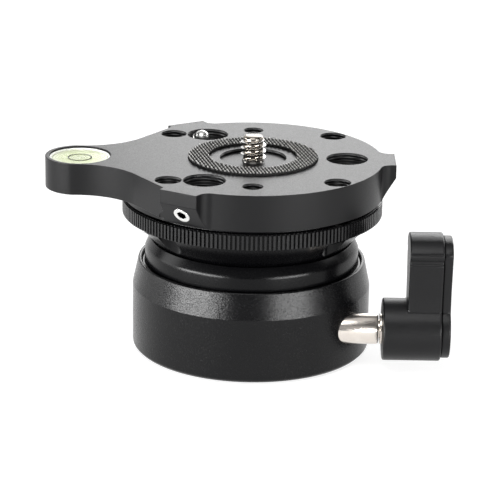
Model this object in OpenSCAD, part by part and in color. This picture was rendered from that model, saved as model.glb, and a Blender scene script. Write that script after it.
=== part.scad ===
// Tripod leveling base: a spherical rocker that tilts in a round housing, locked by a side lever.
// The origin is the centre of the housing's underside, +Z points up and the level arm lies along -X.

/* [Housing] */
// Outside diameter of the housing
housing_d = 58.8; // [58:0.1:66]
// Height of the housing's rim
housing_h = 22.4; // [22:0.1:24]
// Height of the tapered shoulder below the rim
shoulder_h = 6.4; // [3:0.1:8]
// How far the shoulder leans in over its height
shoulder_in = 1.4; // [0.4:0.1:1.4]
// Thickness of the housing's side wall
housing_wall = 2.9; // [2.7:0.1:3.2]
// Thickness of the housing's floor
floor_t = 3.5; // [3:0.1:4]
// Chamfer round the housing's foot
foot_chamfer = 0.8; // [0.3:0.1:1.5]
// Body diameter of the threaded insert in the floor
insert_d = 13; // [11:0.1:18]
// Flange diameter of the threaded insert
insert_flange_d = 17; // [15:0.1:22]
// Flange thickness of the threaded insert
insert_flange_t = 1.2; // [0.8:0.1:1.4]
// Core diameter of the 3/8 inch thread in the insert
insert_core_d = 8; // [7.5:0.1:9.5]

/* [Seat ring] */
// Outside diameter of the ring's visible band
seat_d = 52.8; // [52:0.1:53.2]
// How far the top of the ring's domed lip lies inside the band
lip_in = 1.4; // [1.2:0.1:1.6]
// Height of the domed lip over the band
lip_rise = 2.8; // [2.4:0.1:3]
// Clearance between the seat and the bowl outside the liner
seat_gap = 0.35; // [0.3:0.05:0.5]
// Thickness of the dished seat
seat_t = 2.5; // [2.2:0.1:2.6]
// Thickness of the skirt under the band
seat_skirt_t = 1.2; // [1:0.1:1.3]
// How far the flange under the rim stands out of the band
seat_flange_w = 0.7; // [0.5:0.05:0.8]
// Height of the flange under the rim
seat_flange_h = 2; // [1.5:0.1:2.5]
// Depth of the flange's underside below the housing rim
seat_depth = 2.9; // [2.7:0.1:3.2]
// Diameter of the hole that the pull bolt swings in
seat_hole_d = 18.8; // [18.4:0.1:19.4]
// Clearance of the flange in the housing's counterbore
seat_fit = 0.1; // [0.05:0.01:0.2]

/* [Tilting bowl] */
// Height of the point that the bowl tilts about
tilt_z = 54.4; // [54.2:0.1:54.8]
// Radius of the bowl's spherical underside
bowl_r = 36; // [35.8:0.1:36.2]
// Height of the knurled rim's underside
rim_z = 34.3; // [33.8:0.1:36]
// Diameter of the knurled rim
rim_d = 64; // [63:0.1:66]
// Height of the knurled rim
rim_h = 4; // [3:0.1:5]
// Diameter of the shadow gap over the rim
gap_d = 61; // [58:0.1:62]
// Height of the shadow gap over the rim
gap_h = 0.7; // [0.4:0.1:1.5]
// Diameter of the flat at the bottom of the bowl
bowl_flat_d = 17; // [14:0.1:18]

/* [Clamp] */
// Outside diameter of the friction liner
liner_d = 25; // [22:0.1:26]
// Thickness of the friction liner
liner_t = 0.6; // [0.4:0.1:0.8]
// Clearance on each side of the liner
liner_gap = 0.25; // [0.2:0.05:0.3]
// Angle that the liner's seat leaves free for the tilt
liner_swing = 7.5; // [7:0.1:8]
// Clearance between the other spherical faces
clamp_gap = 0.3; // [0.25:0.05:0.4]
// Outside diameter of the dished washer under the seat
washer_d = 22.4; // [21:0.1:23]
// Thickness of the dished washer
washer_t = 1.8; // [1.4:0.1:2]
// Clearance of the washer on the pull bolt
washer_fit = 0.1; // [0.05:0.05:0.3]
// Place of the brake shoe along the lock shaft
shoe_x = 13; // [12.6:0.1:13.4]
// Diameter of the brake shoe
shoe_d = 5.2; // [4.6:0.1:5.6]
// Clearance of the brake shoe in the seat
shoe_fit = 0.05; // [0.02:0.01:0.1]
// Shank diameter of the pull bolt
bolt_d = 5; // [4.5:0.1:5.2]
// Head diameter of the pull bolt
bolt_head_d = 11; // [9:0.1:14]
// Head height of the pull bolt
bolt_head_h = 4; // [3:0.1:6]
// Depth of the bolt head's seat below the bowl's top
bolt_pocket = 9; // [7:0.1:12]
// Clearance round the bolt head
bolt_pocket_fit = 1; // [0.5:0.1:2]
// Width of the nut across its corners
nut_d = 9.6; // [8.6:0.1:9.8]
// Height of the nut
nut_h = 2.4; // [1.8:0.1:2.8]

/* [Lock shaft] */
// Distance of the shaft inside the seat's band, on the -Y side
lock_in = 10; // [9.4:0.1:10.2]
// Height of the shaft
lock_z = 9.8; // [9.4:0.1:10.2]
// Diameter of the shaft
shaft_d = 4.5; // [4:0.1:4.8]
// Far end of the shaft, from the middle
shaft_far = 20.8; // [20:0.1:21]
// Diameter of the eccentric cam
cam_d = 5.5; // [5.2:0.1:5.8]
// Throw of the cam
cam_throw = 0.3; // [0.1:0.05:0.35]
// Clearance between the cam and the brake shoe
cam_gap = 0.1; // [0.08:0.01:0.2]
// Length of the cam
cam_w = 6; // [5:0.1:8]
// Outside diameter of the bright sleeve
sleeve_d = 7.5; // [7:0.1:7.7]
// Inner end of the sleeve
sleeve_in_x = 19.4; // [18:0.1:20.4]
// Outer end of the sleeve
sleeve_out_x = 31; // [30:0.1:34]
// Clearance of the shaft in its sleeve
run_fit = 0.05; // [0.02:0.01:0.1]
// Gap between the sleeve and the collar
collar_gap = 0.3; // [0.2:0.05:0.5]
// Thickness of the collar
collar_t = 0.7; // [0.5:0.1:1.5]

/* [Lock lever] */
// Diameter of the lever's hub
hub_d = 15.2; // [13:0.1:17]
// Length of the hub's boss
boss_w = 5.9; // [4:0.1:8]
// Length of the grip along the shaft
grip_w = 8.2; // [7:0.1:12]
// Thickness of the end cap
cap_t = 2.2; // [1.6:0.1:3]
// Step between the grip's outline and the cap's
cap_step = 0.75; // [0.4:0.05:1.2]
// Reach of the lever from the shaft's axis
lever_l = 24.3; // [22:0.1:25]
// Width of the lever near its tip
lever_tip_w = 13; // [11:0.1:13.4]
// Width of the lever at its waist
lever_waist_w = 9.6; // [8:0.1:10.5]
// Height of the waist over the shaft's axis
lever_waist_z = 11; // [9:0.1:13]
// Radius of the lever's tip corners
lever_corner = 3; // [1.5:0.1:4]
// Radius of the finger grooves in the lever's edges
groove_r = 0.8; // [0.5:0.1:1]
// Depth of the finger grooves
groove_depth = 0.5; // [0.3:0.1:0.8]
// Distance between the finger grooves
groove_step = 2.2; // [2.1:0.1:3]
// Height of the lower finger groove over the shaft's axis
groove_z = 19; // [16:0.1:19.2]
// Head diameter of the lever's screw
lever_screw_head_d = 5.4; // [4:0.1:7]
// Head height of the lever's screw
lever_screw_head_h = 1.6; // [1:0.1:1.8]
// Width of the small hexagon sockets across their corners
socket_d = 2.3; // [1.5:0.1:2.6]
// Shank diameter of the lever's screw
lever_screw_d = 2.5; // [2:0.1:3]
// Depth of the lever's screw in the shaft
lever_screw_grip = 6; // [4:0.1:8]
// How far the shaft reaches into the grip
shaft_in_grip = 4.5; // [3:0.1:6]

/* [Top plate] */
// Diameter of the top plate
plate_d = 63.8; // [63:0.1:66]
// Thickness of the top plate
plate_t = 8.9; // [8.2:0.1:10]
// How much thinner the arm is than the plate, from below
arm_relief = 1.1; // [0.5:0.1:2]
// Distance of the level's axis outside the plate's edge
arm_out = 10.5; // [9.5:0.1:15]
// Width of the level arm at its round end
arm_w = 17; // [16.4:0.1:18]
// How much narrower the arm's neck is than its round end
arm_neck_in = 0.4; // [0.2:0.1:1]
// Radius of the arm's hollow flanks
arm_fillet = 17.2; // [14:0.1:17.4]
// How far each lug's face stands out of the plate's edge
lug_out = 3; // [2.6:0.1:4]
// Width of a lug
lug_w = 10.2; // [9:0.1:11]
// Radius of the hollow between a lug and the plate's edge
lug_fillet = 2.8; // [2:0.1:2.9]
// Height of a lug's upright face
lug_land = 3.3; // [2:0.1:4]
// Slope of a lug's lower face and of its screw
screw_slope = 32; // [29:0.5:34]
// Distance of the corner holes inside the edge of the plate and the rim
corner_in = 3.475; // [3.3:0.025:3.6]
// Diameter of the corner holes
corner_d = 6.3; // [5:0.1:6.4]
// Distance between the two holes for the plate's screws
side_pitch = 48.8; // [47:0.1:50]
// Diameter of the two holes for the plate's screws
side_d = 4.8; // [4.4:0.1:5.4]
// Depth of the seats of the plate's screws
side_depth = 6.6; // [5:0.1:7]
// Shank diameter of the plate's screws
side_shank_d = 3.2; // [2.5:0.1:3.6]
// Clearance round the heads of the plate's screws
side_fit = 0.1; // [0.05:0.05:0.3]
// Head height of the plate's screws
side_head_h = 3.5; // [2.5:0.1:4.5]
// Grip of the plate's screws in the bowl
side_grip = 3.6; // [2.5:0.1:4.5]
// Radius of the circle of the stepped wells
well_r = 23; // [22.8:0.1:23.3]
// Diameter of the wells
well_d = 10.1; // [9:0.1:10.4]
// Depth of the wells
well_depth = 1.9; // [1.2:0.1:2.6]
// Diameter of the holes below the wells
well_hole_d = 6; // [4:0.1:7]

/* [Set screws] */
// Diameter of the lugs' set screws
set_d = 4.2; // [4:0.1:5.2]
// Length of the lugs' set screws
set_l = 6; // [5:0.1:6.4]
// Diameter of the set screws' ball tips
tip_d = 4; // [3:0.1:4]
// Length of the neck behind a ball tip
tip_neck = 0.6; // [0.4:0.1:1]
// Clearance of the set screws in their bores
set_fit = 0.05; // [0.02:0.01:0.1]
// Width of the set screws' hexagon sockets across their corners
set_socket_d = 2.5; // [2:0.1:3.2]
// Depth of the set screws' hexagon sockets
set_socket_depth = 2.2; // [1:0.1:3]
// Farthest that a set screw turns in from its lug's face
set_travel = 4.2; // [3.6:0.1:4.4]
// How far the right screw is turned in
right_in = 0.8; // [0:0.1:3]
// How far the back screw is turned in
back_in = 4.2; // [0:0.1:4.2]
// How far the front screw is turned in
front_in = 0; // [0:0.1:3]

/* [Stud and pad] */
// Diameter of the 1/4 inch stud
stud_d = 6.2; // [6:0.05:6.4]
// Height of the stud's tip over the plate
stud_rise = 5.6; // [4:0.1:8]
// Chamfer of the stud's tip
stud_chamfer = 0.9; // [0.4:0.1:1.2]
// Diameter of the stud's neck in the disc
stud_neck_d = 5.4; // [4.8:0.1:5.8]
// Height of the bare neck over the disc
stud_neck_h = 0.4; // [0.2:0.1:0.8]
// Diameter of the disc that carries the stud
disc_d = 16.2; // [14:0.1:18]
// Thickness of the disc
disc_t = 3; // [2:0.1:4]
// Depth of the disc below the plate's face
disc_sink = 0.8; // [0.4:0.1:1.2]
// Outside diameter of the friction pad
pad_d = 31.8; // [30:0.1:33]
// Inside diameter of the friction pad
pad_in_d = 21.4; // [20:0.1:24]
// Height of the pad over the plate
pad_rise = 0.9; // [0.5:0.1:1.5]
// Depth of the pad's groove in the plate
pad_sink = 0.4; // [0.2:0.1:0.8]

/* [Level] */
// Diameter of the level's cup
level_d = 15; // [13:0.1:15.4]
// Depth of the level's pocket
level_depth = 6; // [5:0.1:7]
// Depth of the level's face below the plate
level_sink = 0.35; // [0.1:0.05:0.6]
// Wall and floor thickness of the level's cup
level_wall = 0.7; // [0.5:0.1:1]
// Thickness of the level's lens
lens_t = 1.2; // [0.8:0.1:2]

/* [Hidden] */
$fn = 128;
anodised = [0.12, 0.12, 0.13];
bright = [0.82, 0.82, 0.84];
rubber = [0.2, 0.2, 0.2];
white = [0.93, 0.93, 0.9];
// Overshoot of a cut past the face that it opens
over = 1;
hex_sides = 6;
corner_sides = [-1, 1];
lug_count = 3;
lug_step = 360 / lug_count;
lug_r = plate_d / 2 + lug_out;
arm_x = plate_d / 2 + arm_out;
lug_fillet_y = lug_w / 2 + lug_fillet;
lug_fillet_x = sqrt(pow(plate_d / 2 + lug_fillet, 2) - lug_fillet_y * lug_fillet_y);
lug_cut_w = lug_w + lug_fillet;
bore_d = housing_d - 2 * housing_wall;
rim_wall_d = housing_d - 2 * shoulder_in;
counterbore_d = seat_d + 2 * (seat_flange_w + seat_fit);
seat_low_z = housing_h - seat_depth;
seat_r = bowl_r + seat_gap;
liner_seat_r = bowl_r + 2 * liner_gap + liner_t;
liner_under_r = bowl_r + liner_gap + liner_t;
liner_seat_d = 2 * liner_under_r * sin(asin(liner_d / 2 / (bowl_r + liner_gap)) + liner_swing);
// The lip runs up to where it meets the seat's ball, and a larger ball about dome_z shapes its outside
lip_r = seat_d / 2 - lip_in;
lip_z = tilt_z - sqrt(seat_r * seat_r - lip_r * lip_r);
band_z = lip_z - lip_rise;
dome_z = (lip_r * lip_r + lip_z * lip_z - seat_d * seat_d / 4 - band_z * band_z) / (2 * lip_rise);
dome_r = norm([lip_r, lip_z - dome_z]);
lock_y = seat_d / 2 - lock_in;
corner_pitch = (min(rim_d, plate_d) - 2 * corner_in) * sin(45);
seat_under_r = liner_seat_r + seat_t;
washer_r = seat_under_r + clamp_gap;
washer_under_r = washer_r + washer_t;
shoe_low_z = lock_z + cam_d / 2 + cam_throw + cam_gap;
rim_top_z = rim_z + rim_h;
plate_low_z = rim_top_z + gap_h;
plate_top_z = plate_low_z + plate_t;
bowl_flat_z = tilt_z - sqrt(bowl_r * bowl_r - bowl_flat_d * bowl_flat_d / 4);
bolt_seat_z = plate_low_z - bolt_pocket;
nut_top_z = tilt_z - washer_under_r;
nut_low_z = nut_top_z - nut_h;
insert_top_z = floor_t + insert_flange_t;
collar_x = sleeve_out_x + collar_gap;
hub_x = collar_x + collar_t;
grip_x = hub_x + boss_w;
cap_x = grip_x + grip_w;
cap_end_x = cap_x + cap_t;
shaft_end_x = grip_x + shaft_in_grip;
lever_screw_end_x = shaft_end_x - lever_screw_grip;
lug_drop = plate_t - lug_land;
lug_slant = lug_drop / cos(screw_slope);
set_bore_l = set_l + set_travel + set_fit;
level_top_z = plate_top_z - level_sink;
level_low_z = plate_top_z - level_depth;
lens_low_z = level_top_z - lens_t;
disc_top_z = plate_top_z - disc_sink;
disc_low_z = disc_top_z - disc_t;
// The arm's straight flank leaves the lug's corner and touches the hollow arc
lug_side = [-(lug_r - lug_land / 2) * cos(180 - lug_step) - lug_w / 2 * sin(180 - lug_step),
    (lug_r - lug_land / 2) * sin(180 - lug_step) - lug_w / 2 * cos(180 - lug_step)];
arm_half_w = (arm_w - arm_neck_in) / 2;
fillet_c = [-arm_x, arm_half_w + arm_fillet];
fillet_v = fillet_c - lug_side;
flank_a = atan2(fillet_v[1], fillet_v[0]) + asin(arm_fillet / norm(fillet_v));
flank_l = sqrt(fillet_v * fillet_v - arm_fillet * arm_fillet);
flank_p = lug_side + flank_l * [cos(flank_a), sin(flank_a)];

// A plain ring that stands on z
module ring(d_out, d_in, z, h) {
    translate([0, 0, z])
        difference() {
            cylinder(d = d_out, h = h);
            translate([0, 0, -over])
                cylinder(d = d_in, h = h + 2 * over);
        }
}

// A ball about the tilt centre
module tilt_ball(r) {
    translate([0, 0, tilt_z])
        sphere(r = r);
}

// A dished ring between two balls about the tilt centre
module dish(r_top, r_under, d_out, d_in) {
    difference() {
        intersection() {
            tilt_ball(r_under);
            cylinder(d = d_out, h = tilt_z);
        }
        tilt_ball(r_top);
        cylinder(d = d_in, h = tilt_z);
    }
}

// A rod along the lock shaft's axis, from x0 to x1
module lock_rod(d, x0, x1, rise = 0) {
    translate([x0, -lock_y, lock_z + rise])
        rotate([0, 90, 0])
            cylinder(d = d, h = x1 - x0);
}

// A rod over the cam, from z up to the tilt centre
module shoe_rod(d, z) {
    translate([shoe_x, -lock_y, z])
        cylinder(d = d, h = tilt_z - z);
}

// The frame of one lug's sloping face: +X leaves the face, and the origin is its middle
module on_lug(turn) {
    rotate([0, 0, turn])
        translate([lug_r, 0, plate_top_z - lug_land])
            rotate([0, screw_slope, 0])
                translate([0, 0, -lug_slant / 2])
                    children();
}

module housing() {
    color(anodised)
        difference() {
            union() {
                cylinder(d1 = housing_d - 2 * foot_chamfer, d2 = housing_d, h = foot_chamfer);
                translate([0, 0, foot_chamfer])
                    cylinder(d = housing_d, h = housing_h - shoulder_h - foot_chamfer);
                translate([0, 0, housing_h - shoulder_h])
                    cylinder(d1 = housing_d, d2 = rim_wall_d, h = shoulder_h);
            }
            translate([0, 0, floor_t])
                cylinder(d = bore_d, h = housing_h);
            translate([0, 0, seat_low_z])
                cylinder(d = counterbore_d, h = housing_h);
            translate([0, 0, -over])
                cylinder(d = insert_d, h = floor_t + 2 * over);
            lock_rod(sleeve_d, sleeve_in_x, housing_d);
            lock_rod(shaft_d + 2 * run_fit, -shaft_far - run_fit, sleeve_in_x + over);
        }
}

module thread_insert() {
    color(bright)
        difference() {
            union() {
                cylinder(d = insert_d, h = insert_top_z);
                translate([0, 0, floor_t])
                    cylinder(d = insert_flange_d, h = insert_flange_t);
            }
            translate([0, 0, -over])
                cylinder(d = insert_core_d, h = insert_top_z + 2 * over);
        }
}

module seat_ring() {
    color(anodised)
        difference() {
            union() {
                intersection() {
                    translate([0, 0, seat_low_z])
                        cylinder(d = seat_d, h = lip_z - seat_low_z);
                    translate([0, 0, dome_z])
                        sphere(r = dome_r);
                }
                translate([0, 0, seat_low_z])
                    cylinder(d = seat_d + 2 * seat_flange_w, h = seat_flange_h);
                dish(seat_r, seat_under_r, 2 * lip_r, seat_hole_d);
            }
            tilt_ball(seat_r);
            intersection() {
                tilt_ball(liner_seat_r);
                cylinder(d = liner_seat_d, h = tilt_z);
            }
            difference() {
                cylinder(d = seat_d - 2 * seat_skirt_t, h = tilt_z);
                tilt_ball(seat_under_r);
            }
            cylinder(d = seat_hole_d, h = tilt_z);
            shoe_rod(shoe_d + 2 * shoe_fit, 0);
        }
}

module shaft_sleeve() {
    color(bright)
        difference() {
            lock_rod(sleeve_d, sleeve_in_x, sleeve_out_x);
            lock_rod(shaft_d + 2 * run_fit, sleeve_in_x - over, sleeve_out_x + over);
        }
}

module brake_shoe() {
    color(bright)
        difference() {
            shoe_rod(shoe_d, shoe_low_z);
            tilt_ball(bowl_r + clamp_gap);
        }
}

module lock_shaft() {
    color(bright)
        difference() {
            union() {
                lock_rod(shaft_d, -shaft_far, shaft_end_x);
                lock_rod(cam_d, shoe_x - cam_w / 2, shoe_x + cam_w / 2, cam_throw);
            }
            lock_rod(lever_screw_d, lever_screw_end_x, shaft_end_x + over);
        }
}

module shaft_collar() {
    color(bright)
        difference() {
            lock_rod(sleeve_d, collar_x, hub_x);
            lock_rod(shaft_d, collar_x - over, hub_x + over);
        }
}

// Half the lever's width at a height over the shaft's axis
function flank_w(z) = lever_waist_w / 2 + (lever_tip_w - lever_waist_w) / 2
    * min(1, (z - lever_waist_z) / (lever_l - lever_corner - lever_waist_z));

// The lever's outline about the shaft's axis, drawn in by inset
module lever_outline(inset = 0) {
    tip_c = [lever_l - inset - lever_corner, lever_tip_w / 2 - inset - lever_corner];
    difference() {
        union() {
            circle(d = hub_d - 2 * inset);
            polygon([[0, -lever_waist_w / 2 + inset], [lever_waist_z, -lever_waist_w / 2 + inset],
                [tip_c[0], -lever_tip_w / 2 + inset], [tip_c[0], lever_tip_w / 2 - inset],
                [lever_waist_z, lever_waist_w / 2 - inset], [0, lever_waist_w / 2 - inset]]);
            translate([tip_c[0] - lever_corner, -tip_c[1]])
                square([2 * lever_corner, 2 * tip_c[1]]);
            for (side = corner_sides)
                translate([tip_c[0], side * tip_c[1]])
                    circle(r = lever_corner);
        }
        for (side = corner_sides, z = [groove_z, groove_z + groove_step])
            translate([z, side * (flank_w(z) + groove_r - groove_depth)])
                circle(r = groove_r);
    }
}

// A slab of the lever's outline that stands along the shaft from x
module lever_slab(x, w, inset = 0) {
    translate([x, -lock_y, lock_z])
        rotate([90, -90, 90])
            linear_extrude(w)
                lever_outline(inset);
}

module lock_lever() {
    color(anodised)
        difference() {
            union() {
                lock_rod(hub_d, hub_x, grip_x);
                lever_slab(grip_x, grip_w);
            }
            lock_rod(shaft_d, hub_x - over, shaft_end_x);
            lock_rod(lever_screw_d, hub_x, cap_x + over);
        }
}

module lever_cap() {
    color(anodised)
        difference() {
            lever_slab(cap_x, cap_t, cap_step);
            lock_rod(lever_screw_d, cap_x - over, cap_end_x + over);
            lock_rod(lever_screw_head_d, cap_end_x - lever_screw_head_h, cap_end_x + over);
        }
}

module lever_screw() {
    color(bright)
        difference() {
            union() {
                lock_rod(lever_screw_d, lever_screw_end_x, cap_end_x);
                lock_rod(lever_screw_head_d, cap_end_x - lever_screw_head_h, cap_end_x);
            }
            translate([cap_end_x - lever_screw_head_h / 2, -lock_y, lock_z])
                rotate([0, 90, 0])
                    cylinder(d = socket_d, h = lever_screw_head_h, $fn = hex_sides);
        }
}

module friction_liner() {
    color(white)
        dish(bowl_r + liner_gap, bowl_r + liner_gap + liner_t, liner_d, seat_hole_d);
}

module clamp_washer() {
    color(bright)
        dish(washer_r, washer_under_r, washer_d, bolt_d + 2 * washer_fit);
}

// The four corner holes, from z up through everything above
module corner_holes(z) {
    for (sx = corner_sides, sy = corner_sides)
        translate([sx * corner_pitch / 2, sy * corner_pitch / 2, z])
            cylinder(d = corner_d, h = plate_top_z + over);
}

// A rod at each of the two plate screws
module side_rods(d, z, h) {
    for (side = corner_sides)
        translate([0, side * side_pitch / 2, z])
            cylinder(d = d, h = h);
}

module tilt_bowl() {
    color(anodised)
        difference() {
            union() {
                intersection() {
                    tilt_ball(bowl_r);
                    translate([0, 0, bowl_flat_z])
                        cylinder(d = rim_d, h = rim_z - bowl_flat_z);
                }
                translate([0, 0, rim_z])
                    cylinder(d = rim_d, h = rim_h);
                translate([0, 0, rim_top_z])
                    cylinder(d = gap_d, h = gap_h);
            }
            corner_holes(0);
            side_rods(side_shank_d, plate_low_z - side_grip, side_grip + over);
            translate([0, 0, bolt_seat_z])
                cylinder(d = bolt_head_d + 2 * bolt_pocket_fit, h = bolt_pocket + over);
            cylinder(d = bolt_d, h = plate_low_z);
        }
}

module pull_bolt() {
    color(bright)
        difference() {
            union() {
                translate([0, 0, nut_low_z])
                    cylinder(d = bolt_d, h = bolt_seat_z - nut_low_z);
                translate([0, 0, bolt_seat_z])
                    cylinder(d = bolt_head_d, h = bolt_head_h);
            }
            translate([0, 0, bolt_seat_z + bolt_head_h / 2])
                cylinder(d = bolt_d, h = bolt_head_h, $fn = hex_sides);
        }
}

module clamp_nut() {
    color(bright)
        difference() {
            translate([0, 0, nut_low_z])
                cylinder(d = nut_d, h = nut_h, $fn = hex_sides);
            cylinder(d = bolt_d, h = tilt_z);
        }
}

// A point on the other side of the arm's centre line
function across(p) = [p[0], -p[1]];

module arm_outline() {
    arm_end = [-arm_x, arm_half_w];
    difference() {
        union() {
            polygon([arm_end, across(arm_end), across(flank_p), across(lug_side), [0, 0], lug_side, flank_p]);
            translate([-arm_x, 0])
                circle(d = arm_w);
        }
        translate(fillet_c)
            circle(r = arm_fillet);
        translate(across(fillet_c))
            circle(r = arm_fillet);
    }
}

module lug_outline() {
    translate([0, -lug_w / 2])
        square([lug_r, lug_w]);
    difference() {
        polygon([[0, 0], [lug_fillet_x, -lug_fillet_y], [lug_fillet_x, lug_fillet_y]]);
        for (side = corner_sides)
            translate([lug_fillet_x, side * lug_fillet_y])
                circle(r = lug_fillet);
    }
}

module plate_outline() {
    circle(d = plate_d);
    for (i = [0 : lug_count - 1])
        rotate(i * lug_step)
            lug_outline();
}

module top_plate() {
    color(anodised)
        difference() {
            union() {
                translate([0, 0, plate_low_z])
                    linear_extrude(plate_t)
                        plate_outline();
                translate([0, 0, plate_low_z + arm_relief])
                    linear_extrude(plate_t - arm_relief)
                        arm_outline();
            }
            for (i = [0 : lug_count - 1])
                on_lug(i * lug_step) {
                    translate([0, -lug_cut_w / 2, -lug_r])
                        cube([lug_r, lug_cut_w, 2 * lug_r]);
                    translate([over, 0, 0])
                        rotate([0, -90, 0])
                            cylinder(d = set_d + 2 * set_fit, h = set_bore_l + over);
                }
            for (i = [0 : lug_count - 1])
                rotate([0, 0, i * lug_step])
                    translate([well_r, 0, 0]) {
                        translate([0, 0, plate_top_z - well_depth])
                            cylinder(d = well_d, h = plate_t);
                        translate([0, 0, plate_low_z - over])
                            cylinder(d = well_hole_d, h = plate_t);
                    }
            corner_holes(0);
            side_rods(side_shank_d, 0, plate_top_z);
            side_rods(side_d, plate_top_z - side_depth, plate_t);
            translate([0, 0, disc_low_z])
                cylinder(d = disc_d, h = plate_t);
            ring(pad_d, pad_in_d, plate_top_z - pad_sink, plate_t);
            translate([-arm_x, 0, level_low_z])
                cylinder(d = level_d, h = plate_t);
        }
}

module plate_screws() {
    color(bright)
        difference() {
            union() {
                side_rods(side_shank_d, plate_low_z - side_grip, plate_t - side_depth + side_grip);
                side_rods(side_d - 2 * side_fit, plate_top_z - side_depth, side_head_h);
            }
            for (side = corner_sides)
                translate([0, side * side_pitch / 2, plate_top_z - side_depth + side_head_h / 2])
                    cylinder(d = socket_d, h = side_head_h, $fn = hex_sides);
        }
}

module stud_disc() {
    color(anodised)
        ring(disc_d, stud_neck_d, disc_low_z, disc_t);
}

module mounting_stud() {
    neck_l = disc_t + stud_neck_h;
    stud_l = plate_top_z + stud_rise - stud_chamfer - disc_low_z - neck_l;
    color(bright)
        translate([0, 0, disc_low_z]) {
            cylinder(d = stud_neck_d, h = neck_l);
            translate([0, 0, neck_l])
                cylinder(d = stud_d, h = stud_l);
            translate([0, 0, neck_l + stud_l])
                cylinder(d1 = stud_d, d2 = stud_d - 2 * stud_chamfer, h = stud_chamfer);
        }
}

module friction_pad() {
    color(rubber)
        ring(pad_d, pad_in_d, plate_top_z - pad_sink, pad_sink + pad_rise);
}

module level_cup() {
    color(white)
        difference() {
            translate([-arm_x, 0, level_low_z])
                cylinder(d = level_d, h = lens_low_z - level_low_z);
            translate([-arm_x, 0, level_low_z + level_wall])
                cylinder(d = level_d - 2 * level_wall, h = plate_t);
        }
}

module level_fluid() {
    color([0.85, 0.95, 0.5])
        translate([-arm_x, 0, level_low_z + level_wall])
            cylinder(d = level_d - 2 * level_wall, h = lens_low_z - level_low_z - level_wall);
}

module level_lens() {
    color(white)
        translate([-arm_x, 0, lens_low_z])
            cylinder(d = level_d, h = lens_t);
}

// A set screw with a ball tip, turned in by depth from its lug's face
module set_screw(turn, depth) {
    color(bright)
        on_lug(turn)
            rotate([0, -90, 0])
                translate([0, 0, depth])
                    difference() {
                        union() {
                            cylinder(d = set_d, h = set_l - tip_d / 2 - tip_neck);
                            cylinder(d = tip_d, h = set_l - tip_d / 2);
                            translate([0, 0, set_l - tip_d / 2])
                                sphere(d = tip_d);
                        }
                        translate([0, 0, -over])
                            cylinder(d = set_socket_d, h = set_socket_depth + over, $fn = hex_sides);
                    }
}

module set_screw_right() {
    set_screw(0, right_in);
}

module set_screw_back() {
    set_screw(lug_step, back_in);
}

module set_screw_front() {
    set_screw(-lug_step, front_in);
}

housing();
thread_insert();
seat_ring();
shaft_sleeve();
brake_shoe();
lock_shaft();
shaft_collar();
lock_lever();
lever_cap();
lever_screw();
friction_liner();
clamp_washer();
tilt_bowl();
pull_bolt();
clamp_nut();
top_plate();
plate_screws();
stud_disc();
mounting_stud();
friction_pad();
level_cup();
level_fluid();
level_lens();
set_screw_right();
set_screw_back();
set_screw_front();
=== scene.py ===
from math import cos, pi, radians, sin

import bmesh
import bpy
from mathutils import Matrix, Vector
from mathutils.kdtree import KDTree


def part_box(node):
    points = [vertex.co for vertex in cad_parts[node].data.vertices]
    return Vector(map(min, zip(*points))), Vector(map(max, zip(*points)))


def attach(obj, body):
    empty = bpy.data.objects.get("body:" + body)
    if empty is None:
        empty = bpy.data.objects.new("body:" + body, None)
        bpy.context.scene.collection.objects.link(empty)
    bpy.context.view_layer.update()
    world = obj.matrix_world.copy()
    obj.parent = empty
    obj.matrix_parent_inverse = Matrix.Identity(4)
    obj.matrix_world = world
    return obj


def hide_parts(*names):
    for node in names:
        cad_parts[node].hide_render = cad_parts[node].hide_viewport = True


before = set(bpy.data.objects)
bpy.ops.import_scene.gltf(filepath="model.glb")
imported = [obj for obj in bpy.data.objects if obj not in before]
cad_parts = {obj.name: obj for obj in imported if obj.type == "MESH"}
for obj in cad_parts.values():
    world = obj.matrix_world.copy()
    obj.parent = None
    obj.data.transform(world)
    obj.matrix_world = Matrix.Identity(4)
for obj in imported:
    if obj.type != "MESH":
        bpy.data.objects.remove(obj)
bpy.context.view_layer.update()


# Housing: the round cup that screws onto the tripod, turned from aluminium bar.
# It is bead-blasted and dyed black, and the grit sparkles where the coned shoulder mirrors the lamps.
# Its turned edges are broken by a small radius, which catches the light as a thin line.

def linear(code):
    channels = [int(code[i:i + 2], 16) / 255 for i in (1, 3, 5)]
    return [c / 12.92 if c <= 0.04045 else ((c + 0.055) / 1.055) ** 2.4 for c in channels] + [1.0]


def add_node(tree, kind, inputs=None, **settings):
    node = tree.nodes.new(kind)
    for name, value in settings.items():
        setattr(node, name, value)
    for key, value in (inputs or {}).items():
        if isinstance(value, bpy.types.NodeSocket):
            tree.links.new(value, node.inputs[key])
        else:
            node.inputs[key].default_value = value
    return node


def new_finish(name):
    finish = bpy.data.materials.new(name)
    finish.use_nodes = True
    tree = finish.node_tree
    return finish, tree, tree.nodes["Principled BSDF"], add_node(tree, "ShaderNodeTexCoord").outputs["Object"]


def dress(tree, skin, tint, dark, light, grain, smooth, rough, relief_mm, strength=1.0, spread=(0.3, 0.7)):
    # Ties a finish's patterns to its skin: tint blends two colours, and grain sets the sheen and the relief.
    colour = add_node(tree, "ShaderNodeMix", {0: tint, 6: linear(dark), 7: linear(light)}, data_type="RGBA")
    sheen = add_node(tree, "ShaderNodeMapRange", {
        "Value": grain, "From Min": spread[0], "From Max": spread[1], "To Min": smooth, "To Max": rough})
    relief = add_node(tree, "ShaderNodeBump", {
        "Strength": strength, "Distance": relief_mm / 1000, "Height": grain})
    tree.links.new(colour.outputs[2], skin.inputs["Base Color"])
    tree.links.new(sheen.outputs[0], skin.inputs["Roughness"])
    tree.links.new(relief.outputs[0], skin.inputs["Normal"])


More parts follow.
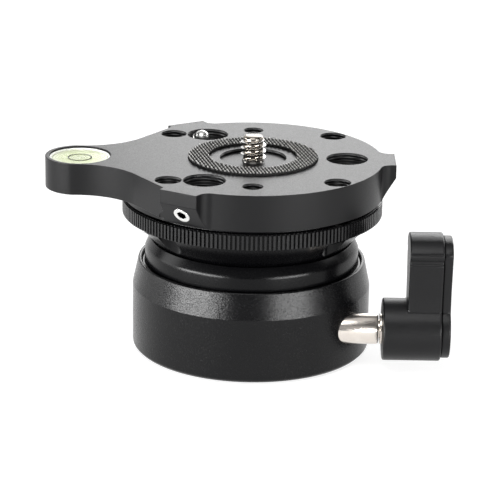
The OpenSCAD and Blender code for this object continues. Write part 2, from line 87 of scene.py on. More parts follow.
def anodised(name, dark, light, grain_mm, relief_mm, smooth, rough, seal):
    # Dyed anodised aluminium over a bead-blasted skin: near black, softly mirroring, lit grain by grain.
    # The grit is finer than a pixel, so it is drawn at grain_mm to show as the sparkle in the photograph.
    # seal is the refractive index of the sealed skin; the porous film mirrors less than bare metal would.
    finish, tree, skin, place = new_finish(name)
    dye_mm = 9.0
    grit = add_node(tree, "ShaderNodeTexNoise", {"Vector": place, "Scale": 1000 / grain_mm, "Detail": 2.0,
                                                 "Roughness": 0.65})
    dye = add_node(tree, "ShaderNodeTexNoise", {"Vector": place, "Scale": 1000 / dye_mm, "Detail": 3.0})
    dress(tree, skin, dye.outputs["Fac"], dark, light, grit.outputs["Fac"], smooth, rough, relief_mm)
    skin.inputs["IOR"].default_value = seal
    return finish


def shown(name, mesh, finish):
    mesh.materials.clear()
    mesh.materials.append(finish)
    piece = bpy.data.objects.new(name, mesh)
    bpy.context.scene.collection.objects.link(piece)
    return piece


def roomy(edges, ease):
    # The edges that have two eases of room beside them; where a bore breaks out thinly, the edge stays sharp.
    # An edge counts as beside another when it lies across the line of that one, not along it.
    along_cos = 0.6
    middles = [(edge.verts[0].co + edge.verts[1].co) / 2 for edge in edges]
    finder = KDTree(len(edges))
    for i, middle in enumerate(middles):
        finder.insert(middle, i)
    finder.balance()
    kept = []
    for edge, middle in zip(edges, middles):
        along = (edge.verts[1].co - edge.verts[0].co).normalized()
        beside = [i for _, i, _ in finder.find_range(middle, 2 * ease)
                  if set(edges[i].verts).isdisjoint(edge.verts)
                  and abs(along.dot((middles[i] - middle).normalized())) < along_cos]
        if not beside:
            kept.append(edge)
    return kept


def eased_copy(name, node, ease_mm, finish, creases=(), shape=None):
    # The CAD solid again as one welded skin, its sharp edges rounded by ease_mm.
    # A crease, at a height in mm, is an edge too blunt to round that still has to show as a line.
    weld, flat, edge_turn, shade_turn = 2e-6, radians(0.3), radians(28), radians(40)
    ease = ease_mm / 1000
    bm = bmesh.new()
    bm.from_mesh(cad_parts[node].data)
    bmesh.ops.remove_doubles(bm, verts=bm.verts, dist=weld)
    if shape:
        shape(bm)
    bmesh.ops.dissolve_limit(bm, angle_limit=flat, verts=bm.verts, edges=bm.edges)
    sharp = [e for e in bm.edges if e.is_manifold and e.calc_face_angle(0.0) > edge_turn]
    bmesh.ops.bevel(bm, geom=roomy(sharp, ease), offset=ease, offset_type="OFFSET", segments=3, profile=0.5,
                    affect="EDGES", clamp_overlap=False)
    mesh = bpy.data.meshes.new(name)
    bm.to_mesh(mesh)
    bm.free()
    mesh.shade_smooth()
    mesh.set_sharp_from_angle(angle=shade_turn)
    for edge in mesh.edges:
        if any(all(abs(mesh.vertices[v].co.z - z / 1000) < 1e-5 for v in edge.vertices) for z in creases):
            edge.use_edge_sharp = True
    piece = shown(name, mesh, finish)
    even = piece.modifiers.new("even shading", "WEIGHTED_NORMAL")
    even.keep_sharp = True
    shaded = bpy.data.meshes.new_from_object(piece.evaluated_get(bpy.context.evaluated_depsgraph_get()))
    piece.modifiers.remove(even)
    piece.data = shaded
    return piece


def fit(piece, body, slot, *nodes):
    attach(piece, body)
    if nodes:
        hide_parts(*nodes)
    return piece


shoulder_foot = 16.0
blasted_black = anodised("bead-blasted black anodised aluminium", "#060607", "#0b0b0c",
                         grain_mm=0.4, relief_mm=0.06, smooth=0.17, rough=0.3, seal=1.28)
cup = eased_copy("housing_cup", "housing", 0.3, blasted_black, creases=(shoulder_foot,))
fit(cup, "base", "black_anodised", "housing")


# Thread insert: a flanged steel bush pressed into the floor of the housing.
# It is turned and tapped, so the bore carries one helical thread from end to end.

def machined(name, bright, dull, line_mm, axis, relief_mm, smooth, rough):
    # Turned stainless steel: bright and cool, with fine rings round its axis that streak the reflections.
    finish, tree, skin, place = new_finish(name)
    stain_mm = 2.5
    along = add_node(tree, "ShaderNodeSeparateXYZ", {"Vector": place}).outputs[axis]
    feed = add_node(tree, "ShaderNodeMath", {0: along, 1: 1000 / line_mm}, operation="MULTIPLY")
    lines = add_node(tree, "ShaderNodeTexNoise", {"W": feed.outputs[0], "Scale": 1.0, "Detail": 2.0},
                     noise_dimensions="1D")
    stain = add_node(tree, "ShaderNodeTexNoise", {"Vector": place, "Scale": 1000 / stain_mm, "Detail": 3.0})
    dress(tree, skin, stain.outputs["Fac"], bright, dull, lines.outputs["Fac"], smooth, rough, relief_mm,
          strength=0.6)
    skin.inputs["Metallic"].default_value = 1.0
    return finish


def lathe(bm, rows, segments, closed=False):
    # Rows are (radius, height) in mm; a row of no radius is one point on the axis.
    rings = []
    for radius, height in rows:
        turns = [2 * pi * i / segments for i in range(1 if radius == 0 else segments)]
        rings.append([bm.verts.new(Vector((radius * cos(t), radius * sin(t), height)) / 1000) for t in turns])
    for low, high in list(zip(rings, rings[1:])) + ([(rings[-1], rings[0])] if closed else []):
        for i in range(segments):
            j = (i + 1) % segments
            corners = [low[i % len(low)], low[j % len(low)], high[j % len(high)], high[i % len(high)]]
            bm.faces.new(list(dict.fromkeys(corners)))


def helix(bm, root, depth, pitch, low, high, segments):
    # A thread with a rounded crest and a flat root, run out into the plain root at both ends.
    profile = [(0.0, 0.0), (0.37, 0.0), (0.41, 0.2), (0.45, 0.65), (0.48, 0.94), (0.5, 1.0), (0.52, 0.94),
               (0.55, 0.65), (0.59, 0.2), (0.63, 0.0)]
    run_out = 0.3
    turns = int((high - low) / pitch) + 2
    rows = [(turn + share, crest) for turn in range(-1, turns) for share, crest in profile]
    grid = []
    for share, crest in rows:
        line = []
        for i in range(segments + 1):
            height = min(high, max(low, low + pitch * (share + i / segments)))
            fade = min(1.0, (height - low) / run_out, (high - height) / run_out)
            r, turn = root + depth * crest * fade, 2 * pi * i / segments
            line.append(bm.verts.new(Vector((r * cos(turn), r * sin(turn), height)) / 1000))
        grid.append(line)
    for low_line, high_line in zip(grid, grid[1:]):
        for i in range(segments):
            bm.faces.new((low_line[i], low_line[i + 1], high_line[i + 1], high_line[i]))


def turned(name, chains, finish, segments=96, closed=False, sharp=40, thread=None):
    # A lathe part: chains of rows, with a thread between them where one is given.
    bm = bmesh.new()
    for rows in chains:
        lathe(bm, rows, segments, closed)
    if thread:
        helix(bm, *thread, segments)
        bmesh.ops.remove_doubles(bm, verts=bm.verts, dist=1e-6)
        bmesh.ops.dissolve_degenerate(bm, edges=bm.edges, dist=1e-7)
    bmesh.ops.recalc_face_normals(bm, faces=bm.faces)
    mesh = bpy.data.meshes.new(name)
    bm.to_mesh(mesh)
    bm.free()
    mesh.shade_smooth()
    mesh.set_sharp_from_angle(angle=radians(sharp))
    return shown(name, mesh, finish)


# Turned pieces keep this far inside their solids, in mm, so that no two skins lie in one plane.
inset = 0.02
turned_steel = machined("turned stainless steel", "#d3d2cf", "#bdbbb7",
                        line_mm=0.16, axis="Z", relief_mm=0.006, smooth=0.16, rough=0.3)
insert_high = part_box("thread_insert")[1]
insert_top, flange_r = insert_high.z * 1000, insert_high.x * 1000
flange_foot, shank_r, bore_r = insert_top - 1.18, 6.5, 4.7
bore_foot, bore_mouth, chamfer = 0.5, insert_top - 0.35, 0.2
insert_pitch, insert_thread = 1.59, -0.66
insert_rows = [(bore_r, bore_mouth), (bore_r + 0.1, insert_top - inset),
               (flange_r - chamfer, insert_top - inset), (flange_r - inset, insert_top - chamfer),
               (flange_r - inset, flange_foot), (shank_r - inset, flange_foot), (shank_r - inset, chamfer),
               (shank_r - chamfer, inset), (bore_r + 0.3, inset), (bore_r, bore_foot)]
insert = turned("tapped_insert", [insert_rows], turned_steel, 64, sharp=75,
                thread=(bore_r, insert_thread, insert_pitch, bore_foot, bore_mouth))
fit(insert, "base", "bright_steel", "thread_insert")


# Seat ring: the dished ring that closes the housing and carries the bowl.
# Turned aluminium, dyed black like the housing but left smooth, so its lip reads as a bright line.

satin_black = anodised("satin black anodised aluminium", "#030304", "#060607",
                       grain_mm=0.25, relief_mm=0.006, smooth=0.2, rough=0.3, seal=1.24)
fit(eased_copy("dished_seat", "seat_ring", 0.2, satin_black), "base", "black_anodised", "seat_ring")


# Lock shaft, its sleeve and its collar: polished steel turnings that carry the lock knob out of the housing.
# The sleeve is pressed into the wall and the shaft turns inside it; the collar runs between sleeve and knob.

def on_shaft(piece, node):
    low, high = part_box(node)
    axis = Vector((low.x, (low.y + high.y) / 2, (low.z + high.z) / 2))
    piece.data.transform(Matrix.Translation(axis) @ Matrix.Rotation(pi / 2, 4, "Y"))
    return piece


def shaft_size(node):
    # Length and radius in mm of a piece that lies along the shaft.
    low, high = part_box(node)
    return (high.x - low.x) * 1000, (high.y - low.y) * 500


shaft_steel = machined("polished turned steel", "#e6e0d9", "#d6cdc4",
                       line_mm=0.3, axis="X", relief_mm=0.0005, smooth=0.19, rough=0.25)
sleeve_l, sleeve_r = shaft_size("shaft_sleeve")
sleeve_bore, sleeve_mouth, sleeve_chamfer = 2.32, 2.45, 0.3
sleeve_rows = [(sleeve_bore, 0.15), (sleeve_mouth, inset), (sleeve_r - sleeve_chamfer, inset),
               (sleeve_r - inset, sleeve_chamfer), (sleeve_r - inset, sleeve_l - 0.34),
               (sleeve_r - 0.11, sleeve_l - 0.12), (sleeve_r - 0.34, sleeve_l - inset),
               (sleeve_mouth, sleeve_l - inset), (sleeve_bore, sleeve_l - 0.15)]
sleeve = turned("shaft_sleeve_tube", [sleeve_rows], shaft_steel, closed=True)
fit(on_shaft(sleeve, "shaft_sleeve"), "base", "bright_steel", "shaft_sleeve")
collar_l, collar_r = shaft_size("shaft_collar")
collar_bore, collar_mouth, collar_chamfer = 2.27, 2.4, 0.16
collar_rows = [(collar_bore, 0.1), (collar_mouth, inset), (collar_r - collar_chamfer, inset),
               (collar_r - inset, collar_chamfer), (collar_r - inset, collar_l - collar_chamfer),
               (collar_r - collar_chamfer, collar_l - inset), (collar_mouth, collar_l - inset),
               (collar_bore, collar_l - 0.1)]
collar = turned("shaft_collar_ring", [collar_rows], shaft_steel, closed=True)
fit(on_shaft(collar, "shaft_collar"), "lock", "bright_steel", "shaft_collar")
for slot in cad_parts["lock_shaft"].material_slots:
    slot.material = shaft_steel


# Lock knob: a waisted lever on the end of the shaft, cast and coated matt black, with two finger grooves.
# A separate cap of the same finish closes its outer face, and a steel screw in its hub holds it on the shaft.

def coated(name, dark, light, grain_mm, relief_mm, smooth, rough):
    # Matt black powder coat: an even pebbled skin without a clear mirror, grey only where it turns away.
    finish, tree, skin, place = new_finish(name)
    cloud_mm, coat_index = 5.0, 1.31
    pebble = add_node(tree, "ShaderNodeTexNoise", {"Vector": place, "Scale": 1000 / grain_mm, "Detail": 3.0,
                                                   "Roughness": 0.6})
    cloud = add_node(tree, "ShaderNodeTexNoise", {"Vector": place, "Scale": 1000 / cloud_mm, "Detail": 2.0})
    dress(tree, skin, cloud.outputs["Fac"], dark, light, pebble.outputs["Fac"], smooth, rough, relief_mm)
    skin.inputs["IOR"].default_value = coat_index
    return finish


knob_coat = coated("matt black powder coat", "#0b0b0c", "#111112",
                   grain_mm=0.35, relief_mm=0.022, smooth=0.3, rough=0.44)
lever_y = (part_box("lock_lever")[0].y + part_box("lock_lever")[1].y) / 2
tip_arch_r, tip_round = 0.013, 0.0032
tip_rows, tip_row = 6, 0.0006


def arch_tip(bm):
    # The casting's tip is drawn as one arch from flank to flank, so only its crown mirrors the back light.
    tip = max(vert.co.z for vert in bm.verts)
    for i in range(-tip_rows, tip_rows + 1):
        bmesh.ops.bisect_plane(bm, geom=bm.verts[:] + bm.edges[:] + bm.faces[:], dist=1e-7,
                               plane_co=(0, lever_y + i * tip_row, 0), plane_no=(0, 1, 0))
    for vert in bm.verts:
        share = (vert.co.z - tip + tip_round) / tip_round
        if share > 0:
            off = vert.co.y - lever_y
            vert.co.z -= share * (tip_arch_r - (tip_arch_r ** 2 - off ** 2) ** 0.5)


knob = eased_copy("knob_lever", "lock_lever", 0.45, knob_coat, shape=arch_tip)
fit(knob, "lock", "black_lever", "lock_lever")
cap = eased_copy("knob_cap", "lever_cap", 0.4, knob_coat, shape=arch_tip)
fit(cap, "lock", "black_lever", "lever_cap")
fit(eased_copy("knob_screw", "lever_screw", 0.1, turned_steel), "lock", "bright_steel", "lever_screw")


# Brake shoe, friction liner, clamp washer, pull bolt and nut: the parts inside that hold the bowl down.
# The shoe, washer, bolt and nut are turned steel, and the liner is a thin moulded cup of pale acetal.

def moulded(name, dark, light, grain_mm, relief_mm, smooth, rough):
    # Moulded plastic: one body colour with a faint flow mottle and a low even sheen.
    finish, tree, skin, place = new_finish(name)
    flow = add_node(tree, "ShaderNodeTexNoise", {"Vector": place, "Scale": 1000 / grain_mm, "Detail": 3.0})
    mottle = flow.outputs["Fac"]
    dress(tree, skin, mottle, dark, light, mottle, smooth, rough, relief_mm, strength=0.5, spread=(0.0, 1.0))
    return finish


acetal = moulded("moulded acetal", "#cfcdc4", "#dddbd3",
                 grain_mm=0.8, relief_mm=0.01, smooth=0.35, rough=0.45)
for node, finish in (("brake_shoe", turned_steel), ("friction_liner", acetal), ("clamp_washer", turned_steel),
                     ("pull_bolt", turned_steel), ("clamp_nut", turned_steel)):
    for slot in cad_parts[node].material_slots:
        slot.material = finish


# Tilt bowl: the half ball that rocks in the seat, with a flat flange knurled straight round its edge.
# Turned aluminium, dyed black. The flange is cut back here and carries flat-topped ribs out to its old size.

def knurl_tree():
    tree = bpy.data.node_groups.new("straight knurl", "GeometryNodeTree")
    for name, kind in (("Geometry", "NodeSocketGeometry"), ("Ribs", "NodeSocketInt"),
                       ("Radius", "NodeSocketFloat"), ("Rib", "NodeSocketVector"),
                       ("Land", "NodeSocketVector"), ("Middle", "NodeSocketVector"),
                       ("Finish", "NodeSocketMaterial")):
        tree.interface.new_socket(name, in_out="INPUT", socket_type=kind)
    tree.interface.new_socket("Geometry", in_out="OUTPUT", socket_type="NodeSocketGeometry")
    given = add_node(tree, "NodeGroupInput").outputs
    block = add_node(tree, "GeometryNodeMeshCube", {"Size": given["Rib"]})
    place = add_node(tree, "GeometryNodeInputPosition").outputs[0]
    outward = add_node(tree, "ShaderNodeSeparateXYZ", {"Vector": place}).outputs["X"]
    outer = add_node(tree, "ShaderNodeMath", {0: outward, 1: 0.0}, operation="GREATER_THAN").outputs[0]
    narrowed = add_node(tree, "ShaderNodeVectorMath", {0: place, 1: given["Land"]}, operation="MULTIPLY")
    rib = add_node(tree, "GeometryNodeSetPosition", {"Geometry": block.outputs["Mesh"], "Selection": outer,
                                                     "Position": narrowed.outputs[0]})
    ring = add_node(tree, "GeometryNodeMeshCircle", {"Vertices": given["Ribs"], "Radius": given["Radius"]})
    turn = add_node(tree, "FunctionNodeAlignRotationToVector", {"Vector": place}, axis="X", pivot_axis="Z")
    ribs = add_node(tree, "GeometryNodeInstanceOnPoints", {
        "Points": ring.outputs[0], "Instance": rib.outputs[0], "Rotation": turn.outputs[0]})
    real = add_node(tree, "GeometryNodeRealizeInstances", {0: ribs.outputs[0]})
    raised = add_node(tree, "GeometryNodeSetPosition", {
        "Geometry": real.outputs[0], "Offset": given["Middle"]})
    coat = add_node(tree, "GeometryNodeSetMaterial", {
        "Geometry": raised.outputs[0], "Material": given["Finish"]})
    both = add_node(tree, "GeometryNodeJoinGeometry", {0: coat.outputs[0]})
    tree.links.new(given["Geometry"], both.inputs[0])
    add_node(tree, "NodeGroupOutput", {0: both.outputs[0]})
    return tree


def grown(piece, tree, sizes):
    # Runs a Geometry Nodes tree on the piece and keeps its result as a plain mesh.
    step = piece.modifiers.new(tree.name, "NODES")
    step.node_group = tree
    for socket in tree.interface.items_tree:
        if socket.in_out == "INPUT" and socket.name in sizes:
            step[socket.identifier] = sizes[socket.name]
    mesh = bpy.data.meshes.new_from_object(piece.evaluated_get(bpy.context.evaluated_depsgraph_get()))
    piece.modifiers.remove(step)
    piece.data = mesh
    return piece


rim_r, rib_root_r, rim_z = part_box("tilt_bowl")[1].x, 0.0315, 0.0363


def cut_back_flange(bm):
    rim_slack = 0.0001
    for vert in bm.verts:
        reach = vert.co.xy.length
        if reach > rim_r - rim_slack:
            vert.co.xy *= rib_root_r / reach


# A lighter and more reflective copy of the bowl's black anodising for the ribs: painted light for the
# highlights the knurl catches.
lit_rib_black = anodised("black anodised aluminium lightened for the ribs", "#09090a", "#0f0f10",
                     grain_mm=0.25, relief_mm=0.008, smooth=0.22, rough=0.34, seal=1.4)
bowl = eased_copy("knurled_bowl", "tilt_bowl", 0.2, satin_black, shape=cut_back_flange)
grown(bowl, knurl_tree(), {"Ribs": 188, "Radius": rib_root_r + 0.0002, "Rib": (0.00058, 0.00082, 0.00386),
                           "Land": (1.0, 0.66, 0.9), "Middle": (0, 0, rim_z), "Finish": lit_rib_black})
fit(bowl, "top", "black_anodised", "tilt_bowl")


# Top plate: the milled platform with three lugs and the arm for the level, and its two fixing screws.
# Bead-blasted finely and dyed black; every edge is eased, and its holes are bored and tapped afterwards.

fine_black = anodised("fine-blasted black anodised aluminium", "#0a0a0b", "#0f0f10",
                      grain_mm=0.3, relief_mm=0.012, smooth=0.3, rough=0.42, seal=1.29)


def tapped(name, dark, light, pitch_mm, relief_mm):
    # Bored and tapped aluminium, dyed black: smoother than the blasted skin and ringed by the thread.
    finish, tree, skin, place = new_finish(name)
    wear_mm, gloss, skin_index = 1.2, 0.32, 1.6
    height = add_node(tree, "ShaderNodeSeparateXYZ", {"Vector": place}).outputs["Z"]
    turns = add_node(tree, "ShaderNodeMath", {0: height, 1: 2 * pi * 1000 / pitch_mm}, operation="MULTIPLY")
    thread = add_node(tree, "ShaderNodeMath", {0: turns.outputs[0]}, operation="SINE")
    wear = add_node(tree, "ShaderNodeTexNoise", {"Vector": place, "Scale": 1000 / wear_mm, "Detail": 2.0})
    colour = add_node(tree, "ShaderNodeMix", {0: wear.outputs["Fac"], 6: linear(dark), 7: linear(light)},
                      data_type="RGBA")
    relief = add_node(tree, "ShaderNodeBump", {"Strength": 1.0, "Distance": relief_mm / 1000,
                                               "Height": thread.outputs[0]})
    tree.links.new(colour.outputs[2], skin.inputs["Base Color"])
    tree.links.new(relief.outputs[0], skin.inputs["Normal"])
    skin.inputs["Roughness"].default_value = gloss
    skin.inputs["IOR"].default_value = skin_index
    return finish


platform = eased_copy("platform", "top_plate", 0.16, fine_black)
tapped_black = tapped("tapped black anodised aluminium", "#0b0b0c", "#151516", pitch_mm=0.8, relief_mm=0.08)
platform.data.materials.append(tapped_black)
bores_within, bores_below = 0.0317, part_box("top_plate")[1].z - 0.0003
for face in platform.data.polygons:
    if face.center.xy.length < bores_within and face.center.z < bores_below and face.normal.z > -0.5:
        face.material_index = 1
fit(platform, "top", "black_anodised", "top_plate")
oxide_steel = machined("black oxide steel", "#4a4a4b", "#38383a",
                       line_mm=0.16, axis="Y", relief_mm=0.006, smooth=0.25, rough=0.4)
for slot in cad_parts["plate_screws"].material_slots:
    slot.material = oxide_steel


# Stud disc and mounting stud: a dyed aluminium disc let into the plate, with a bright stud through it.
# The stud is rolled steel with a chamfered end; its crests are spaced as they show in the photograph.

fit(eased_copy("stud_seat_disc", "stud_disc", 0.15, fine_black), "top", "black_anodised", "stud_disc")


def rolled(name, crest, root, crest_mm, root_mm):
    # Rolled steel thread: burnished crests, and painted shade that darkens the colour to a brown grey towards
    # the roots.
    finish, tree, skin, place = new_finish(name)
    film_mm, smooth, rough = 0.8, 0.12, 0.24
    flat = add_node(tree, "ShaderNodeVectorMath", {0: place, 1: (1, 1, 0)}, operation="MULTIPLY")
    reach = add_node(tree, "ShaderNodeVectorMath", {0: flat.outputs[0]}, operation="LENGTH")
    film = add_node(tree, "ShaderNodeTexNoise", {"Vector": place, "Scale": 1000 / film_mm, "Detail": 2.0})
    # Painted shade: the colour runs from the crest colour at the crest radius to the darker root colour at
    # the root radius.
    height = add_node(tree, "ShaderNodeMapRange", {
        "Value": reach.outputs["Value"], "From Min": root_mm / 1000, "From Max": crest_mm / 1000})
    colour = add_node(tree, "ShaderNodeMix", {0: height.outputs[0], 6: linear(root), 7: linear(crest)},
                      data_type="RGBA")
    gloss = add_node(tree, "ShaderNodeMapRange", {
        "Value": film.outputs["Fac"], "To Min": smooth, "To Max": rough})
    tree.links.new(colour.outputs[2], skin.inputs["Base Color"])
    tree.links.new(gloss.outputs[0], skin.inputs["Roughness"])
    skin.inputs["Metallic"].default_value = 1.0
    return finish


# The darker root colour is painted shade for the thread roots.
rolled_steel = rolled("rolled bright steel", "#f0efed", "#8d877f", crest_mm=2.85, root_mm=2.46)
stud_low, stud_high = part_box("mounting_stud")
foot, tip = stud_low.z * 1000, stud_high.z * 1000
root_r, plain_r, end_r, crest_h, crest_pitch = 2.44, 2.66, 2.52, 0.64, 1.5
thread_foot, thread_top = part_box("stud_disc")[1].z * 1000 + 0.35, tip - 0.75
stud_foot = [(0, foot + inset), (plain_r, foot + inset), (plain_r, thread_foot - 0.25), (root_r, thread_foot)]
stud_tip = [(root_r, thread_top), (end_r, tip - 0.62), (end_r, tip - 0.45), (2.3, tip - 0.16),
            (2.0, tip - 0.01), (0, tip - 0.01)]
stud = turned("threaded_stud", [stud_foot, stud_tip], rolled_steel, 64, sharp=75,
              thread=(root_r, crest_h, crest_pitch, thread_foot, thread_top))
fit(stud, "top", "bright_steel", "mounting_stud")


# Friction pad: a ring of nitrile rubber bonded round the stud, moulded with slanting ribs.
# The ribs run a little off the front-to-back line and are nicked across, so the ring's cut edge is toothed.

def ribbed_pad_tree():
    # A nick takes these shares of the nick pitch and of the rib's height, and steps on from rib to rib.
    nick_share, nick_depth, stagger = 0.22, 0.7, 0.37
    tree = bpy.data.node_groups.new("ribbed pad", "GeometryNodeTree")
    for name, kind in (("Outer", "NodeSocketFloat"), ("Inner", "NodeSocketFloat"),
                       ("Base", "NodeSocketVector"), ("Body", "NodeSocketFloat"), ("Rib", "NodeSocketFloat"),
                       ("Pitch", "NodeSocketFloat"), ("Nick Pitch", "NodeSocketFloat"),
                       ("Slant", "NodeSocketVector"),
                       ("Across", "NodeSocketInt"), ("Along", "NodeSocketInt"),
                       ("Finish", "NodeSocketMaterial")):
        tree.interface.new_socket(name, in_out="INPUT", socket_type=kind)
    tree.interface.new_socket("Geometry", in_out="OUTPUT", socket_type="NodeSocketGeometry")
    given = add_node(tree, "NodeGroupInput").outputs
    side = add_node(tree, "ShaderNodeMath", {0: given["Outer"], 1: 2.0}, operation="MULTIPLY").outputs[0]
    sheet = add_node(tree, "GeometryNodeMeshGrid", {
        "Size X": side, "Size Y": side, "Vertices X": given["Across"], "Vertices Y": given["Along"]})
    place = add_node(tree, "GeometryNodeInputPosition").outputs[0]
    reach = add_node(tree, "ShaderNodeVectorMath", {0: place}, operation="LENGTH").outputs["Value"]
    past = add_node(tree, "ShaderNodeMath", {0: reach, 1: given["Outer"]}, operation="GREATER_THAN")
    short = add_node(tree, "ShaderNodeMath", {0: reach, 1: given["Inner"]}, operation="LESS_THAN")
    waste = add_node(tree, "ShaderNodeMath", {0: past.outputs[0], 1: short.outputs[0]},
                     operation="MAXIMUM").outputs[0]
    ring = add_node(tree, "GeometryNodeDeleteGeometry", {"Geometry": sheet.outputs[0], "Selection": waste},
                    domain="FACE")
    body = add_node(tree, "GeometryNodeExtrudeMesh", {"Mesh": ring.outputs[0], "Offset Scale": given["Body"],
                                                      "Individual": False}, mode="FACES")
    parts = add_node(tree, "ShaderNodeSeparateXYZ", {"Vector": place}).outputs
    half = add_node(tree, "ShaderNodeMath", {0: given["Pitch"], 1: 0.5}, operation="MULTIPLY").outputs[0]
    fold = add_node(tree, "ShaderNodeMath", {0: parts["X"], 1: half}, operation="PINGPONG").outputs[0]
    ridge = add_node(tree, "ShaderNodeMath", {0: fold, 1: half}, operation="DIVIDE").outputs[0]
    count = add_node(tree, "ShaderNodeMath", {0: parts["X"], 1: given["Pitch"]}, operation="DIVIDE")
    number = add_node(tree, "ShaderNodeMath", {0: count.outputs[0]}, operation="FLOOR").outputs[0]
    step = add_node(tree, "ShaderNodeMath", {0: number, 1: stagger}, operation="MULTIPLY").outputs[0]
    run = add_node(tree, "ShaderNodeMath", {0: parts["Y"], 1: given["Nick Pitch"]}, operation="DIVIDE")
    shifted = add_node(tree, "ShaderNodeMath", {0: run.outputs[0], 1: step}, operation="ADD").outputs[0]
    cycle = add_node(tree, "ShaderNodeMath", {0: shifted}, operation="FRACT").outputs[0]
    solid = add_node(tree, "ShaderNodeMath", {0: cycle, 1: nick_share}, operation="GREATER_THAN").outputs[0]
    keep = add_node(tree, "ShaderNodeMath", {0: solid, 1: nick_depth, 2: 1 - nick_depth},
                    operation="MULTIPLY_ADD").outputs[0]
    lift = add_node(tree, "ShaderNodeMath", {0: ridge, 1: keep}, operation="MULTIPLY").outputs[0]
    rise = add_node(tree, "ShaderNodeMath", {0: lift, 1: given["Rib"]}, operation="MULTIPLY").outputs[0]
    up = add_node(tree, "ShaderNodeCombineXYZ", {"Z": rise}).outputs[0]
    ribs = add_node(tree, "GeometryNodeSetPosition", {"Geometry": body.outputs["Mesh"],
                                                      "Selection": body.outputs["Top"], "Offset": up})
    under = add_node(tree, "GeometryNodeFlipFaces", {"Mesh": ring.outputs[0]})
    both = add_node(tree, "GeometryNodeJoinGeometry", {0: ribs.outputs[0]})
    tree.links.new(under.outputs[0], both.inputs[0])
    whole = add_node(tree, "GeometryNodeMergeByDistance", {"Geometry": both.outputs[0], "Distance": 1e-6})
    laid = add_node(tree, "GeometryNodeTransform", {
        "Geometry": whole.outputs[0], "Translation": given["Base"], "Rotation": given["Slant"]})
    real = add_node(tree, "GeometryNodeRealizeInstances", {0: laid.outputs[0]})
    coat = add_node(tree, "GeometryNodeSetMaterial", {
        "Geometry": real.outputs[0], "Material": given["Finish"]})
    add_node(tree, "NodeGroupOutput", {0: coat.outputs[0]})
    return tree


def rubber(name, dark, light, speckle_mm, relief_mm, painted_light_from, painted_light_to):
    # Nitrile rubber: dull charcoal with hardly any shine, the tops of the high ribs painted pale as painted
    # light, broken up by a speckle.
    # The painted light grows over the height range given by the last two arguments; the speckle also roughens
    # the skin.
    finish, tree, skin, place = new_finish(name)
    dullness, rubber_index = 0.62, 1.3
    speckle = add_node(tree, "ShaderNodeTexNoise", {"Vector": place, "Scale": 1000 / speckle_mm, "Detail": 3.0})
    height = add_node(tree, "ShaderNodeSeparateXYZ", {"Vector": place}).outputs["Z"]
    painted_light = add_node(tree, "ShaderNodeMapRange", {"Value": height, "From Min": painted_light_from, "From Max": painted_light_to})
    both = add_node(tree, "ShaderNodeMath", {0: painted_light.outputs[0], 1: speckle.outputs["Fac"]},
                    operation="MULTIPLY")
    colour = add_node(tree, "ShaderNodeMix", {0: both.outputs[0], 6: linear(dark), 7: linear(light)},
                      data_type="RGBA")
    relief = add_node(tree, "ShaderNodeBump", {
        "Strength": 0.6, "Distance": relief_mm / 1000, "Height": speckle.outputs["Fac"]})
    tree.links.new(colour.outputs[2], skin.inputs["Base Color"])
    tree.links.new(relief.outputs[0], skin.inputs["Normal"])
    skin.inputs["Roughness"].default_value = dullness
    skin.inputs["IOR"].default_value = rubber_index
    return finish


pad_low, pad_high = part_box("friction_pad")
pad_body, pad_gap = 0.0007, 0.00001
# The pale second colour is painted light on the rib tops.
nitrile = rubber("ribbed nitrile rubber", "#060606", "#f0efec", speckle_mm=0.5, relief_mm=0.02,
                 painted_light_from=pad_high.z - 0.0004, painted_light_to=pad_high.z)
pad = shown("ribbed_pad", bpy.data.meshes.new("ribbed_pad"), nitrile)
grown(pad, ribbed_pad_tree(), {"Outer": 0.0158, "Inner": 0.01078, "Base": (0, 0, pad_low.z + pad_gap),
                               "Body": pad_body, "Rib": pad_high.z - pad_low.z - pad_body - pad_gap,
                               "Pitch": 0.0008, "Nick Pitch": 0.0019, "Slant": (0, 0, radians(14.5)),
                               "Across": 260, "Along": 250, "Finish": nitrile})
fit(pad, "top", "pad_rubber", "friction_pad")


# Bull's-eye level: a white cup pressed into the arm, with pale green spirit under a clear acrylic window.
# The window is a thin cap inside the rim of the cup, with a target ring printed on its underside.

cup_low, cup_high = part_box("level_cup")
level_x, cup_r = (cup_low.x + cup_high.x) / 2, (cup_high.x - cup_low.x) * 500
cup_foot = cup_low.z * 1000
window_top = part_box("level_lens")[1].z * 1000
spirit_low, spirit_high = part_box("level_fluid")
spirit_r, spirit_foot = (spirit_high.x - level_x) * 1000, spirit_low.z * 1000
cap_t = 0.28


def set_at_level(piece):
    piece.data.transform(Matrix.Translation((level_x, 0, 0)))
    return piece


cup_plastic = moulded("white moulded ABS", "#f0f1ea", "#f7f8f2",
                      grain_mm=0.7, relief_mm=0.004, smooth=0.3, rough=0.4)
wall_r, bore_wall, cup_rim, rim_break = cup_r - 0.06, spirit_r + 0.16, window_top - 0.04, 0.2
cup_rows = [(0, cup_foot + inset), (cup_r - rim_break, cup_foot + inset), (wall_r, cup_foot + rim_break),
            (wall_r, window_top - rim_break), (wall_r - 0.1, cup_rim), (bore_wall + 0.08, cup_rim),
            (bore_wall, cup_rim - 0.08), (bore_wall, spirit_foot - inset), (0, spirit_foot - inset)]
level_cup = turned("level_cup_shell", [cup_rows], cup_plastic, 96)
fit(set_at_level(level_cup), "top", "level_body", "level_cup")


